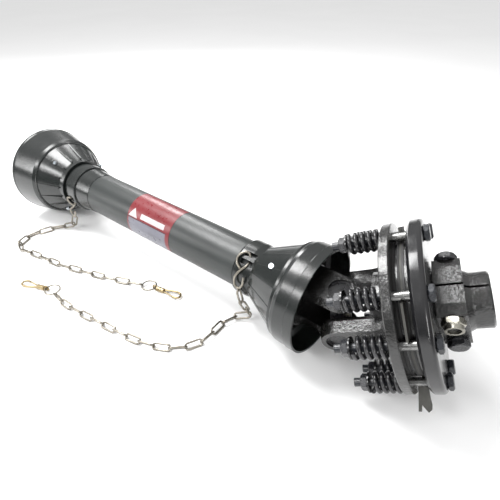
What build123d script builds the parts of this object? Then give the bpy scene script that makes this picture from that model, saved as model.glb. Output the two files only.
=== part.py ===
from build123d import *
import os
from math import atan2, cos, degrees, radians, sin, sqrt, tan

os.makedirs("parts", exist_ok=True)

# Guarded driveline with a spring-loaded friction clutch, lying on a floor with its clutch-end joint bent.
# Lengths are millimetres. +X runs along the shaft from the tractor end to the clutch end, +Z is up and
# the floor is Z = 0. Angles about a centreline are measured from its up side, towards -Y on the shaft.

# ---- Lie of the driveline ----
clutch_rise = 22.0  # tilt of the clutch centreline above the floor, degrees
clutch_yaw = 21.3  # its turn away from the shaft, degrees
floor_clear = 0.05

# ---- Fits ----
running_gap = 0.1
sliding_gap = 0.25
hole_gap = 0.3
guard_gap = 0.4
slip_gap = 0.04  # between a lining and the plate that slips on it

# ---- Plastic guard ----
left_mouth_radius = 79.6
left_bell_length = 59.0
left_bell_neck_radius = 70.0
right_mouth_x = 627.3
right_mouth_radius = 72.8
right_bell_length = 35.0
right_bell_neck_radius = 68.5
bell_wall = 2.6
cone_wall = 2.8
left_cone_base_radius = 66.5
left_cone_end_x = 102.0
left_cone_end_radius = 46.0
right_cone_base_radius = 65.5
right_cone_start_x = 535.5
right_cone_start_radius = 39.0
rib_count = 16
rib_thickness = 2.2
rib_stand = 3.2
collar_radius = 41.0
left_collar_end_x = 139.0
left_sleeve_end_x = 172.0
left_sleeve_wall = 1.2
right_collar_start_x = 507.0
right_collar_rim_length = 19.0
right_collar_radius = 39.5
guard_tube_radius = 35.0
guard_tube_wall = 2.1
inner_guard_wall = 2.0
outer_guard_start_x = 106.0
outer_guard_end_x = 504.0
inner_guard_start_x = 182.0
label_start_x = 281.0
label_length = 97.0
label_first_angle = -22.0
label_sweep = 141.0
label_thickness = 0.3

# ---- Bearing rings that carry the guard on the yokes ----
ring_width = 6.0
groove_depth = 3.0
left_ring_offset = 76.0  # from a joint's centre to the middle of its bearing ring
right_ring_offset = 86.5
guard_screw_radius = 3.4
guard_screw_head = 2.4

# ---- Cardan joints ----
left_joint_x = 8.0
right_joint_x = 654.5
cup_radius = 15.1
cup_inner_reach = 25.5
cup_outer_reach = 40.6
cup_bottom = 3.0
trunnion_radius = 10.0
trunnion_reach = 37.2
cross_body_radius = 16.5
snap_ring_thickness = 1.5
snap_ring_lip = 1.3
ear_radius = 23.5
ear_inner_reach = 24.0
ear_outer_reach = 44.5
ear_relief = 3.0  # how much smaller an ear is at its inner face
ear_relief_depth = 6.0
throat = 50.0
yoke_shoulder = 62.0
hub_radius = 33.0
hub_length = 94.5
nipple_radius = 2.6
nipple_length = 13.0

# ---- Telescopic drive tubes, rounded three-lobed profile ----
lobe_radius = 39.0
lobe_rounding = 12.0
drive_wall = 3.8
inner_drive_wall = 3.6
outer_drive_end_x = 545.0
inner_drive_start_x = 192.0
tube_seat = 26.0  # how deep each drive tube sits in its yoke
spring_pin_radius = 4.5
spring_pin_bore = 2.6
left_pin_inset = 9.0  # from a yoke hub's end to its spring pin
right_pin_inset = 18.5

# ---- Tractor yoke ----
tractor_hub_radius = 28.0
tractor_hub_length = 88.0
spline_major_radius = 17.45
spline_minor_radius = 14.95
spline_slot = 8.75
spline_count = 6
pin_radius = 6.0
pin_offset = 19.5
pin_from_joint = 72.0
pin_boss_radius = 10.5
pin_boss_half = 27.0
pin_head_radius = 8.5
pin_head_length = 4.0
pin_travel = 6.5
pin_spring_wire = 0.7

# ---- Friction clutch, distances along its centreline from the joint ----
plate_radius = 98.4
yoke_flange_start = 66.5
yoke_flange = 11.0
lining = 2.2
inner_plate = 2.4
fork_plate_thickness = 2.4
hub_flange = 3.1
outer_plate_thickness = 16.3
outer_plate_round = 5.0
lining_radius = 79.0
lining_bore_radius = 38.0
hub_core_radius = 35.0
pilot_radius = 24.0
pilot_start = 61.0
bushing_wall = 2.0
bolt_circle_radius = 85.0
bolt_radius = 5.0
bolt_hole_gap = 0.4
bolt_pair_spread = 34.0  # degrees between the two bolts of a pair
bolt_pairs = 4
first_pair_angle = 60.0
bolt_head_flats = 17.0
bolt_head_height = 6.6
bolt_tip_from_joint = 9.5
nut_height = 8.6
washer_thickness = 1.8
washer_radius = 12.2
nut_from_joint = 17.4
spring_wire = 5.0
spring_radius = 10.4
spring_turns = 4.5
fork_reach = 119.5
fork_angle = 140.0
tab_reach = 92.0

# ---- Clamp hub ----
boss_start_gap = 1.5
boss_length = 29.0
boss_half_depth = 41.0
boss_face_half = 22.0
boss_half_height = 34.5
end_tube_radius = 31.0
end_tube_end = 166.0
clamp_angle = 22.6  # side of the hub that carries the slit
slit_width = 2.6
clamp_bolt_radius = 7.0
clamp_bolt_offset = 28.5
clamp_head_flats = 21.0
clamp_head_height = 9.0
clamp_nut_flats = 21.0
clamp_nut_height = 9.0
clamp_nut_collar_radius = 9.8
clamp_nut_collar_height = 4.5

# ---- Safety chains ----
link_width = 11.5
hook_wire = 3.2
split_ring_radius = 11.5
split_ring_wire = 2.5
snap_eye_radius = 3.6
snap_eye_wire = 3.0
snap_barrel_radius = 4.0
snap_barrel_length = 13.0
snap_wire = 3.4
snap_loop_length = 30.0
snap_loop_half_width = 6.4
gate_wire = 2.4
gate_pivot_stand = 1.5
gate_pivot_aside = -1.6
strap_width = 5.0
strap_thickness = 2.1
window_length = 19.0
window_half_width = 9.5

# ---- Centrelines ----


class Centreline:
    """A line that pieces are turned about, with an up side to measure angles from."""

    def __init__(self, origin, along, up):
        self.origin = Vector(*origin)
        self.along = Vector(*along).normalized()
        up = Vector(*up)
        self.up = (up - self.along * self.along.dot(up)).normalized()
        self.side = self.along.cross(self.up)
        self.axis = Axis(self.origin, self.along)
        self.section = Plane(origin=self.origin, x_dir=self.along, z_dir=self.side)

    def radial(self, angle):
        return self.up * cos(radians(angle)) + self.side * sin(radians(angle))

    def point(self, distance, radius=0.0, angle=0.0):
        return self.origin + self.along * distance + self.radial(angle) * radius

    def across(self, distance, radius=0.0, angle=0.0):
        """The plane square to the line at a distance, with its X towards the angle."""
        return Plane(origin=self.point(distance, radius, angle), x_dir=self.radial(angle), z_dir=self.along)

    def spoke(self, distance, angle, offset=0.0):
        """A centreline that leaves this one squarely, towards the angle."""
        out = self.radial(angle)
        start = self.point(distance) + self.along.cross(out) * offset
        return Centreline(start, out, self.along)


def turned(line, outline):
    """A solid turned about a centreline from an outline of (distance, radius) points."""
    with BuildPart() as body:
        with BuildSketch(line.section):
            with BuildLine():
                Polyline(*outline, close=True)
            make_face()
        revolve(axis=line.axis)
    return body.part


def bar(line, start, end, radius, bore=0.0):
    """A round bar or, with a bore, a tube."""
    return turned(line, [(start, bore), (start, radius), (end, radius), (end, bore)])


def hexagon(line, start, end, flats, chamfered=True):
    """A hexagonal head or nut body with its corners chamfered."""
    with BuildPart() as body:
        with BuildSketch(line.across(start)):
            RegularPolygon(flats / 2, 6, major_radius=False)
        extrude(amount=end - start)
        if chamfered:
            corner = flats / sqrt(3)
            cut = 0.12 * flats
            cone = [(start, 0), (start, corner - cut), (start + cut, corner + 0.2)]
            cone += [(end - cut, corner + 0.2), (end, corner - cut), (end, 0)]
            add(turned(line, cone), mode=Mode.INTERSECT)
    return body.part


def run_lengths(points):
    return [(b - a).length for a, b in zip(points, points[1:])]


def bend_radii(points):
    """For each corner of a route, the radius that uses 0.45 of its shorter run."""
    runs = run_lengths(points)
    radii = []
    for before, here, after, r0, r1 in zip(points, points[1:], points[2:], runs, runs[1:]):
        turn = radians((here - before).get_angle(after - here))
        radii.append(0.45 * min(r0, r1) / tan(turn / 2))
    return radii


def wire(points, diameter):
    """A round wire or cord along a route of straight runs and tangent arcs."""
    points = [Vector(*p) for p in points]
    with BuildPart() as body:
        with BuildLine():
            route = FilletPolyline(*points, radius=bend_radii(points))
        with BuildSketch(Plane(origin=route @ 0, z_dir=route % 0)):
            Circle(diameter / 2)
        sweep(path=route)
    return body.part, route.length


shaft = Centreline((0, 0, left_mouth_radius), (1, 0, 0), (0, 0, 1))
rise = radians(clutch_rise)
yaw = radians(clutch_yaw)
clutch_way = Vector(cos(rise) * cos(yaw), cos(rise) * sin(yaw), sin(rise))
joint_centre = shaft.point(right_joint_x)
clutch = Centreline(joint_centre, clutch_way, (0, 0, 1))

# ---- Cardan joint axes ----
pair_half = bolt_pair_spread / 2
arm_angle = first_pair_angle + 180.0 / bolt_pairs
outer_pin_way = clutch.radial(arm_angle)
inner_pin_way = shaft.along.cross(outer_pin_way).normalized()
tractor_pin_way = shaft.along.cross(inner_pin_way).normalized()

clutch_fork = Centreline(joint_centre, clutch.along, outer_pin_way)
right_fork = Centreline(joint_centre, shaft.along * -1, inner_pin_way)
left_centre = shaft.point(left_joint_x)
left_fork = Centreline(left_centre, shaft.along, inner_pin_way)
tractor_fork = Centreline(left_centre, shaft.along * -1, tractor_pin_way)


def arm_outline(plane, radius, reach, root_half_width):
    """An ear's round end running into a straight arm that widens at its root."""
    with BuildSketch(plane) as outline:
        with BuildLine():
            ThreePointArc((0, -radius), (-radius, 0), (0, radius))
            Polyline(
                (0, radius),
                (throat - 8, radius),
                (reach, root_half_width),
                (reach, -root_half_width),
                (throat - 8, -radius),
                (0, -radius),
            )
        make_face()
    return outline.sketch


def fork_arms(line, reach, root_half_width):
    """The two ears and their arms; the line runs from the joint to the hub, up along the bore."""
    with BuildPart() as body:
        for way in (1, -1):
            out = line.up * way
            inner = Plane(origin=line.origin + out * ear_inner_reach, x_dir=line.along, z_dir=out)
            middle = inner.offset(ear_relief_depth)
            outer = inner.offset(ear_outer_reach - ear_inner_reach)
            small = (ear_radius - ear_relief, reach, root_half_width - ear_relief)
            full = (ear_radius, reach, root_half_width)
            loft([arm_outline(inner, *small), arm_outline(middle, *full)], ruled=True)
            loft([arm_outline(middle, *full), arm_outline(outer, *small)], ruled=True)
    return body.part


def cup_bores(line):
    """What is bored from a fork: the two cup seats and their snap-ring grooves."""
    bore = Centreline(line.origin, line.up, line.along)
    groove_end = cup_outer_reach + snap_ring_thickness
    with BuildPart() as body:
        add(bar(bore, -ear_outer_reach - 1, ear_outer_reach + 1, cup_radius))
        for way in (1, -1):
            half = Centreline(line.origin, line.up * way, line.along)
            add(bar(half, cup_outer_reach, groove_end, cup_radius + snap_ring_lip))
    return body.part


def fork_cups(line):
    """The two needle-bearing cups of one fork."""
    with BuildPart() as body:
        for way in (1, -1):
            out = Centreline(line.origin, line.up * way, line.along)
            rim = trunnion_radius + running_gap
            floor_at = cup_outer_reach - cup_bottom
            outline = [(cup_inner_reach, rim), (cup_inner_reach, cup_radius), (cup_outer_reach, cup_radius)]
            outline += [(cup_outer_reach, 0), (floor_at, 0), (floor_at, rim)]
            add(turned(out, outline))
    return body.part


def fork_rings(line):
    """The two snap rings that hold the cups, each with its gap."""
    with BuildPart() as body:
        for way in (1, -1):
            out = Centreline(line.origin, line.up * way, line.along)
            start = cup_outer_reach
            end = start + snap_ring_thickness
            add(bar(out, start, end, cup_radius + snap_ring_lip, cup_radius - 2.4))
            with BuildSketch(out.across(start)):
                with Locations((cup_radius, 0)):
                    Rectangle(9, 5)
            extrude(amount=snap_ring_thickness, mode=Mode.SUBTRACT)
    return body.part


def joint_cross(origin, first_way, second_way):
    """The four-trunnion cross of a joint."""
    with BuildPart() as body:
        for way, other in ((first_way, second_way), (second_way, first_way)):
            pin = Centreline(origin, way, other)
            add(bar(pin, -trunnion_reach, trunnion_reach, trunnion_radius))
            add(bar(pin, -cup_inner_reach + 1.5, cup_inner_reach - 1.5, trunnion_radius + 2.6))
        add(turned(Centreline(origin, first_way.cross(second_way), first_way), [
            (-cross_body_radius * 0.75, 0),
            (-cross_body_radius * 0.75, cross_body_radius),
            (cross_body_radius * 0.75, cross_body_radius),
            (cross_body_radius * 0.75, 0),
        ]))
    return body.part


def grease_nipple(origin, first_way, second_way, lean):
    """A grease nipple screwed into the cross, between two trunnions."""
    way = (first_way + second_way).normalized() + lean * 0.45
    line = Centreline(origin, way, first_way)
    root = cross_body_radius - 1.0
    outline = [(root, 0), (root, nipple_radius + 1.4), (root + 5, nipple_radius + 1.4)]
    outline += [(root + 5, nipple_radius), (root + 8.5, nipple_radius), (root + 9.5, nipple_radius + 0.7)]
    outline += [(root + 11, nipple_radius + 0.7), (root + nipple_length, 1.2), (root + nipple_length, 0)]
    return turned(line, outline), bar(line, root, root + 5, nipple_radius + 1.4)


def lobed(line, distance, inset):
    """The drive tube's rounded three-lobed outline, shrunk by an inset."""
    with BuildSketch(line.across(distance)) as outline:
        RegularPolygon(lobe_radius, 3)
        fillet(outline.vertices(), lobe_rounding)
        if inset > 0:
            offset(amount=-inset, mode=Mode.REPLACE)
    return outline.sketch


def lobed_tube(line, start, end, inset, wall):
    """A length of drive tube."""
    with BuildPart() as body:
        extrude(lobed(line, start, inset), amount=end - start)
        extrude(lobed(line, start, inset + wall), amount=end - start, mode=Mode.SUBTRACT)
    return body.part


def splines(line, start, end):
    """The broached bore that a splined shaft slides into."""
    with BuildPart() as body:
        with BuildSketch(line.across(start)):
            Circle(spline_minor_radius)
            depth = spline_major_radius - spline_minor_radius
            with PolarLocations(spline_minor_radius, spline_count):
                Rectangle(2 * depth, spline_slot)
        extrude(amount=end - start)
    return body.part


# ---- Joint to guard distances ----
left_ring_x = left_joint_x + left_ring_offset
right_ring_x = right_joint_x - right_ring_offset
groove_radius = hub_radius - groove_depth
tube_line = Centreline(shaft.origin, shaft.along, inner_pin_way)


def tube_yoke(line, ring_at, pin_inset, drive_inset):
    """A yoke whose hub takes a drive tube and carries the guard's bearing ring in a groove."""
    half_ring = ring_width / 2 + guard_gap
    seat_start = hub_length - tube_seat
    pin = line.spoke(hub_length - pin_inset, 90)
    with BuildPart() as body:
        add(fork_arms(line, throat + 4, ear_radius))
        add(turned(line, [
            (throat, 0),
            (throat, ear_inner_reach),
            (throat - 3, ear_outer_reach - 1.5),
            (yoke_shoulder - 4, ear_outer_reach - 1.5),
            (yoke_shoulder + 4, hub_radius),
            (ring_at - half_ring, hub_radius),
            (ring_at - half_ring, groove_radius),
            (ring_at + half_ring, groove_radius),
            (ring_at + half_ring, hub_radius),
            (hub_length - 1, hub_radius),
            (hub_length, hub_radius - 1),
            (hub_length, 0),
        ]))
        add(cup_bores(line), mode=Mode.SUBTRACT)
        extrude(lobed(line, seat_start, drive_inset), amount=tube_seat + 1, mode=Mode.SUBTRACT)
        add(bar(pin, -hub_radius - 1, hub_radius + 1, spring_pin_radius), mode=Mode.SUBTRACT)
    return body.part


def spring_pin(line, inset):
    """The slotted pin driven through a yoke hub and its drive tube."""
    pin = line.spoke(hub_length - inset, 90)
    with BuildPart() as body:
        add(bar(pin, -hub_radius + 1, hub_radius - 1, spring_pin_radius, spring_pin_bore))
        with BuildSketch(pin.across(-hub_radius)):
            with Locations((spring_pin_radius, 0)):
                Rectangle(2 * spring_pin_radius, 1.2)
        extrude(amount=2 * hub_radius, mode=Mode.SUBTRACT)
    return body.part


# ---- Drive line pieces ----

inner_inset = drive_wall + sliding_gap

with BuildPart() as left_tube_yoke:
    add(tube_yoke(left_fork, left_ring_offset, left_pin_inset, 0.0))

with BuildPart() as outer_drive_tube:
    pin_hole = left_fork.spoke(hub_length - left_pin_inset, 90)
    add(lobed_tube(left_fork, hub_length - tube_seat, outer_drive_end_x - left_joint_x, 0.0, drive_wall))
    add(bar(pin_hole, -lobe_radius, lobe_radius, spring_pin_radius), mode=Mode.SUBTRACT)

with BuildPart() as left_spring_pin:
    add(spring_pin(left_fork, left_pin_inset))

with BuildPart() as left_tube_yoke_cups:
    add(fork_cups(left_fork))

with BuildPart() as left_tube_yoke_rings:
    add(fork_rings(left_fork))

with BuildPart() as left_cross:
    add(joint_cross(left_centre, inner_pin_way, tractor_pin_way))
    nipple, nipple_hole = grease_nipple(left_centre, inner_pin_way, tractor_pin_way * -1, shaft.along * -1)
    add(nipple_hole, mode=Mode.SUBTRACT)

with BuildPart() as left_grease_nipple:
    add(nipple)

with BuildPart() as right_tube_yoke:
    add(tube_yoke(right_fork, right_ring_offset, right_pin_inset, inner_inset))

with BuildPart() as inner_drive_tube:
    tube_end = hub_length - tube_seat
    far_end = right_joint_x - inner_drive_start_x
    pin_hole = right_fork.spoke(hub_length - right_pin_inset, 90)
    add(lobed_tube(right_fork, tube_end, far_end, inner_inset, inner_drive_wall))
    add(bar(pin_hole, -lobe_radius, lobe_radius, spring_pin_radius), mode=Mode.SUBTRACT)

with BuildPart() as right_spring_pin:
    add(spring_pin(right_fork, right_pin_inset))

with BuildPart() as right_tube_yoke_cups:
    add(fork_cups(right_fork))

with BuildPart() as right_tube_yoke_rings:
    add(fork_rings(right_fork))

with BuildPart() as right_cross:
    add(joint_cross(joint_centre, inner_pin_way, outer_pin_way))
    nipple, nipple_hole = grease_nipple(joint_centre, inner_pin_way * -1, outer_pin_way, clutch_way)
    add(nipple_hole, mode=Mode.SUBTRACT)

with BuildPart() as right_grease_nipple:
    add(nipple)

# ---- Tractor yoke with its push-pin lock ----

push_pin = Centreline(
    tractor_fork.point(pin_from_joint) + Vector(0, 0, pin_offset), Vector(0, 1, 0), shaft.along
)
pin_head_start = pin_boss_half + pin_travel + 1.0

with BuildPart() as tractor_yoke:
    add(fork_arms(tractor_fork, throat + 4, ear_radius))
    add(turned(tractor_fork, [
        (throat, 0),
        (throat, ear_inner_reach),
        (throat - 3, ear_outer_reach - 1.5),
        (throat + 6, ear_outer_reach - 1.5),
        (throat + 13, tractor_hub_radius),
        (tractor_hub_length - 2, tractor_hub_radius),
        (tractor_hub_length, tractor_hub_radius - 2),
        (tractor_hub_length, 0),
    ]))
    add(bar(push_pin, -pin_boss_half, pin_boss_half, pin_boss_radius))
    add(cup_bores(tractor_fork), mode=Mode.SUBTRACT)
    add(splines(tractor_fork, throat - 1, tractor_hub_length + 1), mode=Mode.SUBTRACT)
    add(bar(push_pin, -pin_boss_half - 1, pin_boss_half + 1, pin_radius + running_gap), mode=Mode.SUBTRACT)

with BuildPart() as tractor_yoke_cups:
    add(fork_cups(tractor_fork))

with BuildPart() as tractor_yoke_rings:
    add(fork_rings(tractor_fork))

with BuildPart() as release_pin:
    waist = pin_radius - 2.2
    neck = pin_radius - 1.6
    add(turned(push_pin, [
        (-pin_boss_half + 3, 0),
        (-pin_boss_half + 3, pin_radius),
        (3, pin_radius),
        (6, waist),
        (13, waist),
        (16, pin_radius),
        (pin_boss_half - 1, pin_radius),
        (pin_boss_half - 1, neck),
        (pin_head_start, neck),
        (pin_head_start, pin_head_radius),
        (pin_head_start + pin_head_length - 1, pin_head_radius),
        (pin_head_start + pin_head_length, pin_head_radius - 1),
        (pin_head_start + pin_head_length, 0),
    ]))

with BuildPart() as release_pin_spring:
    coil_radius = pin_head_radius - pin_spring_wire - 0.4
    coil_height = pin_head_start - pin_boss_half - 2 * pin_spring_wire - 0.6
    with BuildLine() as coil:
        Helix(
            pitch=coil_height / 3.5,
            height=coil_height,
            radius=coil_radius,
            center=push_pin.point(pin_boss_half + pin_spring_wire + 0.3),
            direction=push_pin.along,
        )
    with BuildSketch(Plane(origin=coil.line @ 0, z_dir=coil.line % 0)):
        Circle(pin_spring_wire)
    sweep(path=coil.line, is_frenet=True)

# ---- Friction clutch ----

flange_end = yoke_flange_start + yoke_flange
layers = {}
reach = flange_end
for name, thickness in (
    ("lining 1", lining),
    ("inner plate", inner_plate),
    ("lining 2", lining),
    ("fork plate", fork_plate_thickness),
    ("lining 3", lining),
    ("hub flange", hub_flange),
    ("lining 4", lining),
    ("outer plate", outer_plate_thickness),
):
    layers[name] = (reach, reach + thickness)
    reach += thickness
outer_face = reach
bolt_angles = [
    first_pair_angle + pair * 360.0 / bolt_pairs + half
    for pair in range(bolt_pairs)
    for half in (-pair_half, pair_half)
]
bolt_lines = [
    Centreline(clutch.point(0, bolt_circle_radius, angle), clutch.along, clutch.radial(angle))
    for angle in bolt_angles
]


def bolt_holes(start, end):
    """The holes that let the clutch bolts through a plate."""
    with BuildPart() as body:
        for line in bolt_lines:
            add(bar(line, start - 1, end + 1, bolt_radius + bolt_hole_gap))
    return body.part


with BuildPart() as clutch_yoke:
    add(fork_arms(clutch_fork, yoke_flange_start + 2, ear_radius + 5))
    add(turned(clutch, [
        (throat, 0),
        (throat, ear_inner_reach),
        (throat - 3, ear_outer_reach - 1.5),
        (yoke_flange_start - 5, ear_outer_reach - 1.5),
        (yoke_flange_start, ear_outer_reach + 8),
        (yoke_flange_start, plate_radius - 1.2),
        (yoke_flange_start + 1.2, plate_radius),
        (flange_end - 1.2, plate_radius),
        (flange_end, plate_radius - 1.2),
        (flange_end, 0),
    ]))
    add(cup_bores(clutch_fork), mode=Mode.SUBTRACT)
    bushing_seat = pilot_radius + running_gap + bushing_wall
    add(bar(clutch, pilot_start - 1, flange_end + 1, bushing_seat), mode=Mode.SUBTRACT)
    add(bolt_holes(yoke_flange_start, flange_end), mode=Mode.SUBTRACT)

with BuildPart() as clutch_yoke_cups:
    add(fork_cups(clutch_fork))

with BuildPart() as clutch_yoke_rings:
    add(fork_rings(clutch_fork))

with BuildPart() as clutch_bushing:
    bore = pilot_radius + running_gap
    add(bar(clutch, pilot_start, flange_end - 0.5, bore + bushing_wall, bore))

with BuildPart() as friction_discs:
    for name in ("lining 1", "lining 2", "lining 3", "lining 4"):
        add(bar(clutch, *layers[name], lining_radius, lining_bore_radius))

with BuildPart() as inner_drive_plate:
    start, end = layers["inner plate"]
    add(bar(clutch, start + slip_gap, end - slip_gap, lining_radius - 1, hub_core_radius + running_gap))

with BuildPart() as fork_plate:
    start, end = layers["fork plate"]
    between_bolts = bolt_circle_radius * radians(pair_half) - bolt_radius - 1.0
    add(bar(clutch, start, end, lining_radius - 0.5, lining_bore_radius))
    for pair in range(bolt_pairs):
        angle = first_pair_angle + pair * 360.0 / bolt_pairs
        with BuildSketch(clutch.across(start, 0, angle)):
            with Locations(((lining_radius + tab_reach) / 2 - 3, 0)):
                Rectangle(tab_reach - lining_radius + 6, 2 * between_bolts)
        extrude(amount=end - start)
    out = clutch.radial(fork_angle)
    with BuildSketch(Plane(origin=clutch.origin, x_dir=out, z_dir=out.cross(clutch.along))):
        with BuildLine():
            Polyline(
                (tab_reach - 4, start - 5.5),
                (fork_reach - 21, start - 6.4),
                (fork_reach - 1, start - 8.8),
                (fork_reach - 1, start - 5.4),
                (fork_reach - 8, start - 4.2),
                (fork_reach - 2, start + 0.2),
                (fork_reach, start + 2.0),
                (fork_reach - 3, start + 5.6),
                (fork_reach - 8, start + 6.6),
                (fork_reach - 15, start + 5.8),
                (tab_reach - 4, start + 5.2),
                close=True,
            )
        make_face()
    extrude(amount=fork_plate_thickness / 2, both=True)

with BuildPart() as outer_plate:
    start, end = layers["outer plate"]
    edge = outer_plate_round
    with BuildSketch(clutch.section):
        with BuildLine():
            inner = hub_core_radius + 2.0
            corner = Polyline(
                (start, inner),
                (start, plate_radius - 3),
                (start + 3, plate_radius),
                (end - edge, plate_radius)
            )
            RadiusArc(corner @ 1, (end, plate_radius - edge), edge)
            Polyline((end, plate_radius - edge), (end, inner), (start, inner))
        make_face()
    revolve(axis=clutch.axis)
    add(bolt_holes(start, end), mode=Mode.SUBTRACT)

with BuildPart() as clutch_bolts:
    for line in bolt_lines:
        add(bar(line, bolt_tip_from_joint, outer_face, bolt_radius))
        add(hexagon(line, outer_face, outer_face + bolt_head_height, bolt_head_flats))

nut_end = nut_from_joint + nut_height
washer_end = nut_end + washer_thickness

with BuildPart() as clutch_nuts:
    for line in bolt_lines:
        add(hexagon(line, nut_from_joint, nut_end, bolt_head_flats))
        add(bar(line, nut_from_joint - 1, nut_end + 1, bolt_radius), mode=Mode.SUBTRACT)

with BuildPart() as spring_washers:
    for line in bolt_lines:
        add(bar(line, nut_end, washer_end, washer_radius, bolt_radius + 0.2))

with BuildPart() as one_spring:
    spring_room = yoke_flange_start - washer_end
    spring_rise = spring_room - spring_wire
    with BuildLine() as coil:
        Helix(pitch=spring_rise / spring_turns, height=spring_rise, radius=spring_radius)
    with BuildSketch(Plane(origin=coil.line @ 0, z_dir=coil.line % 0)):
        Circle(spring_wire / 2)
    sweep(path=coil.line, is_frenet=True)

with BuildPart() as clutch_springs:
    for line in bolt_lines:
        seat = line.across(washer_end + spring_wire / 2)
        add(one_spring.part.moved(seat.location))

# ---- Clamp hub ----

boss_start = outer_face + boss_start_gap
boss_end = boss_start + boss_length
boss_middle = (boss_start + boss_end) / 2
clamp_frame = Centreline(clutch.origin, clutch.along, clutch.radial(clamp_angle))
near_clamp = Centreline(
    clamp_frame.point(boss_middle, clamp_bolt_offset, 0), clamp_frame.side, clamp_frame.along
)
far_clamp = Centreline(
    clamp_frame.point(boss_middle, -clamp_bolt_offset, 0), clamp_frame.side * -1, clamp_frame.along
)
clamp_lines = (near_clamp, far_clamp)

with BuildPart() as clutch_hub:
    flange_start, flange_stop = layers["hub flange"]
    add(turned(clutch, [
        (pilot_start, 0),
        (pilot_start, pilot_radius - 1),
        (pilot_start + 1, pilot_radius),
        (flange_end + 0.3, pilot_radius),
        (flange_end + 0.3, hub_core_radius),
        (flange_start + slip_gap, hub_core_radius),
        (flange_start + slip_gap, lining_radius - 1),
        (flange_stop - slip_gap, lining_radius - 1),
        (flange_stop - slip_gap, hub_core_radius),
        (boss_start + 4, hub_core_radius),
        (boss_start + 4, 0),
    ]))
    with BuildSketch(clamp_frame.across(boss_start)):
        with BuildLine():
            Polyline(
                (boss_half_depth, boss_face_half),
                (boss_half_depth - 6, boss_half_height),
                (-boss_half_depth + 6, boss_half_height),
                (-boss_half_depth, boss_face_half),
                (-boss_half_depth, -boss_face_half),
                (-boss_half_depth + 6, -boss_half_height),
                (boss_half_depth - 6, -boss_half_height),
                (boss_half_depth, -boss_face_half),
                close=True,
            )
        make_face()
    extrude(amount=boss_length)
    add(turned(clutch, [
        (boss_end - 1, 0),
        (boss_end - 1, boss_half_height - 0.5),
        (boss_end, boss_half_height - 0.5),
        (boss_end + 6, end_tube_radius),
        (end_tube_end - 2, end_tube_radius),
        (end_tube_end, end_tube_radius - 2),
        (end_tube_end, 0),
    ]))
    add(splines(clutch, pilot_start - 1, end_tube_end + 1), mode=Mode.SUBTRACT)
    for line in clamp_lines:
        add(bar(line, -60, 60, clamp_bolt_radius + hole_gap), mode=Mode.SUBTRACT)
    with BuildSketch(clamp_frame.across(boss_start + 0.5)):
        with Locations((boss_half_depth, 0)):
            Rectangle(2 * boss_half_depth - 2 * spline_minor_radius + 8, slit_width)
    extrude(amount=end_tube_end, mode=Mode.SUBTRACT)

with BuildPart() as clamp_bolts:
    seat = boss_half_height
    shank_end = seat + clamp_nut_height + clamp_nut_collar_height - 3.0
    for line in clamp_lines:
        add(bar(line, -seat, shank_end, clamp_bolt_radius))
        add(hexagon(line, -seat - clamp_head_height, -seat, clamp_head_flats))
        add(bar(line, -seat - 2, -seat, clamp_head_flats / 2 + 1))

with BuildPart() as clamp_nuts:
    collar_start = boss_half_height + clamp_nut_height
    collar_end = collar_start + clamp_nut_collar_height
    for line in clamp_lines:
        add(hexagon(line, boss_half_height, collar_start, clamp_nut_flats))
        add(bar(line, collar_start - 1, collar_end, clamp_nut_collar_radius))
        add(bar(line, boss_half_height - 1, collar_end + 1, clamp_bolt_radius), mode=Mode.SUBTRACT)

# ---- Guard ----


def cone_radius(x, x0, r0, x1, r1):
    return r0 + (r1 - r0) * (x - x0) / (x1 - x0)


def bearing_ring(line, at, wall):
    """The nylon ring that runs in a yoke's groove, split at one side, with its flange up to the cone."""
    half = ring_width / 2
    outer_radius = max(cone_radius(at + way * half / 2, *wall) for way in (-1, 1))
    inner = groove_radius + guard_gap
    lip = hub_radius + 2.0
    with BuildPart() as body:
        add(turned(line, [
            (at - half, inner),
            (at - half, lip + 2),
            (at - half / 2, lip + 4),
            (at - half / 2, cone_radius(at - half / 2, *wall)),
            (at + half / 2, cone_radius(at + half / 2, *wall)),
            (at + half / 2, lip + 4),
            (at + half, lip + 2),
            (at + half, inner),
        ]))
        with BuildSketch(line.across(at - half)):
            with Locations((-outer_radius, 0)):
                Rectangle(2 * (outer_radius - groove_radius) + 8, 1.6)
        extrude(amount=ring_width, mode=Mode.SUBTRACT)
    return body.part


def cone_ribs(line, start, end, count):
    """Thin ribs standing on a cone, from (distance, radius) at its base to the same at its neck."""
    with BuildPart() as body:
        for n in range(count):
            rib = Centreline(line.origin, line.along, line.radial((n + 0.5) * 360.0 / count))
            face = Plane(origin=rib.origin - rib.side * rib_thickness / 2, x_dir=rib.along, z_dir=rib.side)
            with BuildSketch(face):
                with BuildLine():
                    Polyline(
                        (start[0], start[1] - 1.0),
                        (start[0], start[1] + 0.6),
                        (end[0], end[1] + rib_stand),
                        (end[0], end[1] - 1.0),
                        close=True,
                    )
                make_face()
            extrude(amount=rib_thickness)
    return body.part


def hook_window(line, at, angle, floor_radius, outer_radius, drop):
    """The window that a chain hook dips into, and the strap left across it."""
    spoke = Plane(
        origin=line.point(at), x_dir=line.along, z_dir=line.radial(angle)
    )
    with BuildPart() as cut:
        with BuildSketch(spoke.offset(floor_radius)):
            Rectangle(window_length, 2 * window_half_width)
        extrude(amount=20)
    with BuildPart() as strap:
        with BuildSketch(spoke.offset(drop)):
            Rectangle(window_length + 2, strap_width)
        extrude(amount=strap_thickness)
    return cut.part, strap.part


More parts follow.
